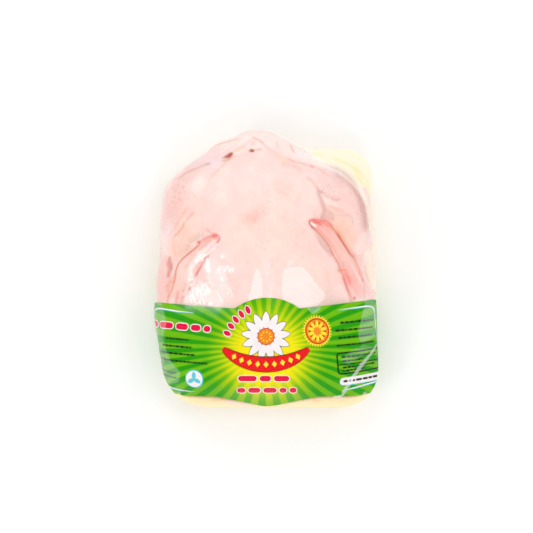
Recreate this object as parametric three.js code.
// A whole raw chicken, breast up on a pale foam tray, under tight clear film with a printed
// label band laid over its neck end. Millimetres, +Z up, +Y towards the tail, +X to the
// chicken's right-hand side as seen from above with the tail at the top.
import * as THREE from 'three';
import { ConvexHull } from 'three/addons/math/ConvexHull.js';

// ---------- driving dimensions ----------

const tray = {
  centreX: 3.1,
  centreY: -6.6,
  halfLength: 108,
  halfWidthTail: 85.4,    // half width of the rim at the tail end
  halfWidthNeck: 90,      // and at the neck end, where the wings spread it
  cornerTailRight: 22,    // rim corner radii
  cornerTailLeft: 50,     // this corner is pulled in under the leg by the film
  cornerNeckLeft: 38,
  cornerNeckRight: 31,
  sharpestCorner: 8,      // the rings inside the rim never turn tighter than this
  stepsPerCorner: 13,
  stepsPerSide: 6,
};

// The sloping inside of the tray's wall runs from the lip's inner edge down to the floor.
const wallTop = { inset: 10.4, z: 25.8 };
const wallFoot = { inset: 24.6, z: 6.2 };

// Rings of the tray wall, from the middle of the base outwards, over the lip and back to the
// floor: how far each lies inside the rim outline, and its height.
const trayRings = [
  { inset: 25, z: 0 },
  { inset: 22, z: 1.6 },
  { inset: 7.2, z: 23.5 },
  { inset: 1.6, z: 25.6 },
  { inset: 0, z: 27.6 },
  { inset: 1.2, z: 30 },
  { inset: 3.8, z: 30.8 },
  { inset: 7, z: 29.4 },
  wallTop,
  wallFoot,
  { inset: 27.6, z: 4.2 },
];
const trayLipTop = 30.8;
const trayLipEdge = 27.6;
const trayFloorTop = 4.2;

const gapToTray = 1.6;    // clear space between the chicken and the tray
const gapToLabel = 1.5;   // and between the label and what it lies on
const gapAtLip = 2.4;     // where it bends round the tray's lip
const labelThickness = 0.6;

// The chicken's masses. Each limb is a tapering rod with round ends.
const masses = {
  back: { centre: [0, -6, 32], radii: [66, 94, 27] },
  breastLeft: { centre: [-20, -14, 46], radii: [44, 88, 40] },
  breastRight: { centre: [17, -14, 46], radii: [44, 88, 40] },
};
const limbs = {
  keel: { from: [-11, 76, 54], to: [-3, -36, 76], startRadius: 15, endRadius: 18 },
  rump: { from: [-10, 74, 44], to: [-8, 96, 42], startRadius: 26, endRadius: 15 },
  leftThigh: { from: [-61, 22, 39], to: [-57, 53, 40], startRadius: 28, endRadius: 30 },
  leftHock: { from: [-42, 70, 41], to: [-12, 98, 42], startRadius: 24, endRadius: 13 },
  rightThigh: { from: [60, 20, 39], to: [53, 44, 40], startRadius: 27, endRadius: 31 },
  rightHock: { from: [42, 62, 41], to: [4, 96, 42], startRadius: 24, endRadius: 13 },
  leftShoulder: { from: [-64, -14, 38], to: [-58, -72, 36], startRadius: 27, endRadius: 27 },
  rightShoulder: { from: [63, -26, 40], to: [54, -72, 36], startRadius: 26, endRadius: 27 },
};
const skinFlaps = {       // loose skin round the tail, lower than the legs
  left: { from: [-54, 79, 39], to: [-37, 93, 38], startRadius: 9, endRadius: 10.5 },
  leftTail: { from: [-37, 93, 38], to: [-14, 104.5, 41], startRadius: 10.5, endRadius: 8 },
  right: { from: [40, 84, 38], to: [12, 97.5, 40], startRadius: 9.5, endRadius: 8.5 },
};
const wings = {
  leftTip: { from: [-40, 25, 75], to: [-58, 0, 69], startRadius: 6.5, endRadius: 10 },
  leftArm: { from: [-58, 0, 68], to: [-72, -38, 50], startRadius: 10, endRadius: 18 },
  rightTip: { from: [38, 35, 75], to: [57, 6, 69], startRadius: 6.5, endRadius: 10 },
  rightArm: { from: [57, 6, 68], to: [70, -34, 50], startRadius: 10, endRadius: 17 },
};
const bodyBlend = 15;     // how softly the masses run into each other
const flapBlend = 6;
const wingBlend = 9;      // wings lie on the breast with a crease along their edges

const chickenMesh = {
  centre: [0, -4, 46],
  spread: [84, 100, 44],  // evens the rays out over a flat, long body
  around: 72,
  searchStep: 1.5,        // how far each ray walks at a time, and how often it is then halved
  halvings: 16,
  bands: [                // degrees from straight up, closest together along the tray's lip
    { start: 180, end: 142, rings: 4 },
    { start: 142, end: 119, rings: 4 },
    { start: 119, end: 102, rings: 8 },
    { start: 102, end: 0, rings: 22 },
  ],
};

const label = {
  columns: 56,
  rows: 12,
  middleX: 0.8,
  axisHeight: 22,         // the band is wrapped round a line along Y at this height
  topReach: 104,          // degrees from straight up to the tucked ends, along the
  bottomReach: 92,        // tail-side edge and along the neck-side one
  bendSpread: 14,         // height over which it bends round the lip
  topAtMiddle: -34.2,     // Y of the band's tail-side edge
  bottomAtMiddle: -110.2, // Y of its neck-side edge
  topRise: 8,             // the ends sweep towards the tail
  topRiseLeft: 5.6,
  bottomRise: 5.4,
  sweepSpeed: 1.6,        // and reach their full sweep before the tucked ends
  tuckRise: 5,            // the neck-side edge rises once more where the ends tuck under
  tuckStart: 0.83,
  roundCentreY: -69.3,    // the disc that stands out at the middle
  tailSide: { halfWidth: 43, reach: 43.7 },
  neckSide: { halfWidth: 66, reach: 44.6 },
};

// ---------- fields: negative inside, positive outside ----------

const clamp = THREE.MathUtils.clamp;
const lerp = THREE.MathUtils.lerp;

function ellipsoidField({ centre, radii }) {
  return (x, y, z) => {
    const px = (x - centre[0]) / radii[0];
    const py = (y - centre[1]) / radii[1];
    const pz = (z - centre[2]) / radii[2];
    const reach = Math.hypot(px, py, pz);
    const slope = Math.hypot(px / radii[0], py / radii[1], pz / radii[2]);
    return slope > 0 ? (reach * (reach - 1)) / slope : -Math.min(...radii);
  };
}

function limbField({ from, to, startRadius, endRadius }) {
  const axis = [0, 1, 2].map((k) => to[k] - from[k]);
  const lengthSquared = axis.reduce((sum, a) => sum + a * a, 0);
  return (x, y, z) => {
    const along = (x - from[0]) * axis[0] + (y - from[1]) * axis[1] + (z - from[2]) * axis[2];
    const share = clamp(along / lengthSquared, 0, 1);
    const dx = x - from[0] - axis[0] * share;
    const dy = y - from[1] - axis[1] * share;
    const dz = z - from[2] - axis[2] * share;
    return Math.hypot(dx, dy, dz) - lerp(startRadius, endRadius, share);
  };
}

function softMin(a, b, blend) {
  const overlap = Math.max(blend - Math.abs(a - b), 0) / blend;
  return Math.min(a, b) - (overlap * overlap * blend) / 4;
}

// Distance outside the tray's rim outline, with a corner radius of its own at each corner and
// a width that grows from the tail end to the neck end.
function rimField(x, y) {
  const px = x - tray.centreX;
  const py = y - tray.centreY;
  const share = (tray.halfLength - py) / (2 * tray.halfLength);
  const halfWidth = lerp(tray.halfWidthTail, tray.halfWidthNeck, clamp(share, 0, 1));
  const tailEnd = py > 0;
  const tailRadius = px > 0 ? tray.cornerTailRight : tray.cornerTailLeft;
  const neckRadius = px > 0 ? tray.cornerNeckRight : tray.cornerNeckLeft;
  const radius = tailEnd ? tailRadius : neckRadius;
  const qx = Math.abs(px) - halfWidth + radius;
  const qy = Math.abs(py) - tray.halfLength + radius;
  return Math.hypot(Math.max(qx, 0), Math.max(qy, 0)) + Math.min(Math.max(qx, qy), 0) - radius;
}

// Positive where the tray is in the way: below its lip and outside its sloping inner wall.
function trayInTheWay(x, y, z) {
  const wallRun = (wallFoot.inset - wallTop.inset) / (wallTop.z - wallFoot.z);
  const wallInset = wallTop.inset + Math.max(wallTop.z - z, 0) * wallRun;
  const belowLip = trayLipTop + gapToTray - z;
  const pastWall = rimField(x, y) + wallInset + gapToTray;
  return Math.max(Math.min(belowLip, pastWall), trayFloorTop + gapToTray - z);
}

const massFields = Object.values(masses).map(ellipsoidField);
const limbFields = Object.values(limbs).map(limbField);
const flapFields = Object.values(skinFlaps).map(limbField);
const wingFields = Object.values(wings).map(limbField);

function chickenField(x, y, z) {
  let field = Infinity;
  for (const part of [...massFields, ...limbFields]) {
    const distance = part(x, y, z);
    field = field === Infinity ? distance : softMin(field, distance, bodyBlend);
  }
  for (const part of flapFields) field = softMin(field, part(x, y, z), flapBlend);
  for (const part of wingFields) field = softMin(field, part(x, y, z), wingBlend);
  return Math.max(field, trayInTheWay(x, y, z));
}

// ---------- meshes from rings of points ----------

function meshFrom(points, faces, name, material) {
  const geometry = new THREE.BufferGeometry();
  geometry.setAttribute('position', new THREE.Float32BufferAttribute(points.flat(), 3));
  geometry.setIndex(faces.flat());
  geometry.computeVertexNormals();
  const mesh = new THREE.Mesh(geometry, material);
  mesh.name = name;
  return mesh;
}

// Closes a stack of equal rings, listed from a first pole to a last one, into one body.
function closedRings(firstPole, rings, lastPole) {
  const count = rings[0].length;
  const points = [firstPole, ...rings.flat(), lastPole];
  const last = points.length - 1;
  const faces = [];
  const at = (ring, k) => 1 + ring * count + (k % count);
  for (let k = 0; k < count; k += 1) {
    faces.push([0, at(0, k + 1), at(0, k)]);
    for (let ring = 0; ring < rings.length - 1; ring += 1) {
      faces.push([at(ring, k), at(ring, k + 1), at(ring + 1, k + 1)]);
      faces.push([at(ring, k), at(ring + 1, k + 1), at(ring + 1, k)]);
    }
    faces.push([last, at(rings.length - 1, k), at(rings.length - 1, k + 1)]);
  }
  return { points, faces };
}

// ---------- tray ----------

// The rim outline, shrunk by an inset, anticlockwise seen from above.
function trayOutline(inset) {
  const corners = [
    { side: 1, end: 1, radius: tray.cornerTailRight },
    { side: -1, end: 1, radius: tray.cornerTailLeft },
    { side: -1, end: -1, radius: tray.cornerNeckLeft },
    { side: 1, end: -1, radius: tray.cornerNeckRight },
  ];
  const arcs = corners.map(({ side, end, radius }, corner) => {
    const halfWidth = end > 0 ? tray.halfWidthTail : tray.halfWidthNeck;
    const innerRadius = Math.max(radius - inset, tray.sharpestCorner);
    const cx = tray.centreX + side * (halfWidth - inset - innerRadius);
    const cy = tray.centreY + end * (tray.halfLength - inset - innerRadius);
    const arc = [];
    for (let k = 0; k < tray.stepsPerCorner; k += 1) {
      const turn = (corner + k / (tray.stepsPerCorner - 1)) * (Math.PI / 2);
      arc.push([cx + innerRadius * Math.cos(turn), cy + innerRadius * Math.sin(turn)]);
    }
    return arc;
  });
  const outline = [];
  arcs.forEach((arc, corner) => {
    outline.push(...arc);
    const start = arc[arc.length - 1];
    const end = arcs[(corner + 1) % arcs.length][0];
    for (let k = 1; k < tray.stepsPerSide; k += 1) {
      const share = k / tray.stepsPerSide;
      outline.push([lerp(start[0], end[0], share), lerp(start[1], end[1], share)]);
    }
  });
  return outline;
}

function makeTray() {
  const rings = trayRings.map(({ inset, z }) => trayOutline(inset).map(([x, y]) => [x, y, z]));
  const { points, faces } = closedRings(
    [tray.centreX, tray.centreY, 0],
    rings,
    [tray.centreX, tray.centreY, trayFloorTop],
  );
  const foam = new THREE.MeshStandardMaterial({ color: 0xf9e6b4, roughness: 0.62, metalness: 0 });
  return meshFrom(points, faces, 'tray', foam);
}

// ---------- chicken ----------

// Walks out from the body's middle and returns the last point still inside it.
function surfacePoint(direction) {
  const [cx, cy, cz] = chickenMesh.centre;
  const length = Math.hypot(...direction);
  const [dx, dy, dz] = direction.map((d) => d / length);
  const inside = (reach) => chickenField(cx + dx * reach, cy + dy * reach, cz + dz * reach) < 0;
  const step = chickenMesh.searchStep;
  let reach = step;
  while (inside(reach)) reach += step;
  let near = reach - step;
  let far = reach;
  for (let k = 0; k < chickenMesh.halvings; k += 1) {
    const middle = (near + far) / 2;
    if (inside(middle)) near = middle;
    else far = middle;
  }
  return [cx + dx * near, cy + dy * near, cz + dz * near];
}

function makeChicken() {
  const { spread, around, bands } = chickenMesh;
  const polars = bands.flatMap(({ start, end, rings }) => (
    Array.from({ length: rings }, (_, k) => lerp(start, end, (k + 1) / rings))
  )).slice(0, -1).map(THREE.MathUtils.degToRad);
  const stack = polars.map((polar) => Array.from({ length: around }, (_, k) => {
    const turn = (2 * Math.PI * k) / around;
    return surfacePoint([
      spread[0] * Math.sin(polar) * Math.cos(turn),
      spread[1] * Math.sin(polar) * Math.sin(turn),
      spread[2] * Math.cos(polar),
    ]);
  }));
  const { points, faces } = closedRings(surfacePoint([0, 0, -1]), stack, surfacePoint([0, 0, 1]));
  const skin = new THREE.MeshStandardMaterial({ color: 0xfcdcd4, roughness: 0.35, metalness: 0 });
  return meshFrom(points, faces, 'wrapped_chicken', skin);
}

// ---------- label ----------

// The flat planes of the tight outer shape round the chicken and the tray.
function stretchedPlanes(meshes) {
  const cloud = [];
  for (const mesh of meshes) {
    const positions = mesh.geometry.getAttribute('position');
    for (let k = 0; k < positions.count; k += 1) {
      cloud.push(new THREE.Vector3().fromBufferAttribute(positions, k));
    }
  }
  return new ConvexHull().setFromPoints(cloud).faces.map(({ normal, constant }) => ({
    nx: normal.x,
    ny: normal.y,
    nz: normal.z,
    offset: constant,
  }));
}

// Where a ray across the pack, at one Y and one angle from straight up, meets the planes once
// they are moved out by a clearance.
function bandPoint(planes, y, angle, clearance) {
  const dx = Math.sin(angle);
  const dz = Math.cos(angle);
  let reach = Infinity;
  for (const { nx, ny, nz, offset } of planes) {
    const facing = nx * dx + nz * dz;
    if (facing > 1e-6) {
      const height = offset + clearance - nx * label.middleX - ny * y - nz * label.axisHeight;
      reach = Math.min(reach, height / facing);
    }
  }
  return [label.middleX + dx * reach, y, label.axisHeight + dz * reach];
}

// How far one side of the disc reaches along Y from its centre, where one ray meets the planes.
function discReach(planes, { halfWidth, reach }, y, angle) {
  const across = (bandPoint(planes, y, angle, 0)[0] - label.middleX) / halfWidth;
  return reach * Math.sqrt(Math.max(1 - across ** 2, 0));
}

// Both long edges of the band at one place from -1 at its left end to 1 at its right end, with
// the disc bulging out at the middle.
function bandEdges(planes, place) {
  const sweep = Math.min(Math.abs(place) * label.sweepSpeed, 1) ** 2;
  const topAngle = THREE.MathUtils.degToRad(label.topReach) * place;
  const bottomAngle = THREE.MathUtils.degToRad(label.bottomReach) * place;
  const topRise = place < 0 ? label.topRiseLeft : label.topRise;
  const top = label.topAtMiddle + topRise * sweep;
  const tuck = Math.max((Math.abs(place) - label.tuckStart) / (1 - label.tuckStart), 0) ** 2;
  const bottom = label.bottomAtMiddle + label.bottomRise * sweep + label.tuckRise * tuck;
  return {
    topAngle,
    bottomAngle,
    top: Math.max(top, label.roundCentreY + discReach(planes, label.tailSide, top, topAngle)),
    bottom: Math.min(
      bottom,
      label.roundCentreY - discReach(planes, label.neckSide, bottom, bottomAngle),
    ),
  };
}

function makeLabel(chicken, foamTray) {
  const planes = stretchedPlanes([chicken, foamTray]);
  const points = [];
  for (const clearance of [gapToLabel, gapToLabel + labelThickness]) {
    for (let column = 0; column <= label.columns; column += 1) {
      const place = lerp(-1, 1, column / label.columns);
      const { top, bottom, topAngle, bottomAngle } = bandEdges(planes, place);
      for (let row = 0; row <= label.rows; row += 1) {
        const share = row / label.rows;
        const angle = lerp(bottomAngle, topAngle, share);
        const y = lerp(bottom, top, share);
        const height = bandPoint(planes, y, angle, clearance)[2];
        const bend = Math.max(1 - Math.abs(height - trayLipEdge) / label.bendSpread, 0);
        points.push(bandPoint(planes, y, angle, clearance + bend * (gapAtLip - gapToLabel)));
      }
    }
  }
  const perSheet = (label.columns + 1) * (label.rows + 1);
  const at = (sheet, column, row) => sheet * perSheet + column * (label.rows + 1) + row;
  const faces = [];
  const quad = (a, b, c, d) => faces.push([a, b, c], [a, c, d]);
  for (let column = 0; column < label.columns; column += 1) {
    for (let row = 0; row < label.rows; row += 1) {
      const next = [column + 1, row];
      quad(at(1, column, row), at(1, ...next), at(1, column + 1, row + 1), at(1, column, row + 1));
      quad(at(0, column, row), at(0, column, row + 1), at(0, column + 1, row + 1), at(0, ...next));
    }
    quad(at(0, column, 0), at(0, column + 1, 0), at(1, column + 1, 0), at(1, column, 0));
    const edge = label.rows;
    quad(at(1, column, edge), at(1, column + 1, edge), at(0, column + 1, edge), at(0, column, edge));
  }
  for (let row = 0; row < label.rows; row += 1) {
    quad(at(0, 0, row), at(1, 0, row), at(1, 0, row + 1), at(0, 0, row + 1));
    const end = label.columns;
    quad(at(1, end, row), at(0, end, row), at(0, end, row + 1), at(1, end, row + 1));
  }
  const print = new THREE.MeshStandardMaterial({ color: 0x4ea80c, roughness: 0.4, metalness: 0 });
  return meshFrom(points, faces, 'label_band', print);
}

// ---------- the pack ----------

const foamTray = makeTray();
const chicken = makeChicken();
const labelBand = makeLabel(chicken, foamTray);

const pack = new THREE.Group();
pack.add(foamTray, chicken, labelBand);

// The origin is the middle of the pack's footprint, at the level of its base.
const box = new THREE.Box3().setFromObject(pack);
pack.position.set(-(box.min.x + box.max.x) / 2, -(box.min.y + box.max.y) / 2, -box.min.z);

export default pack;
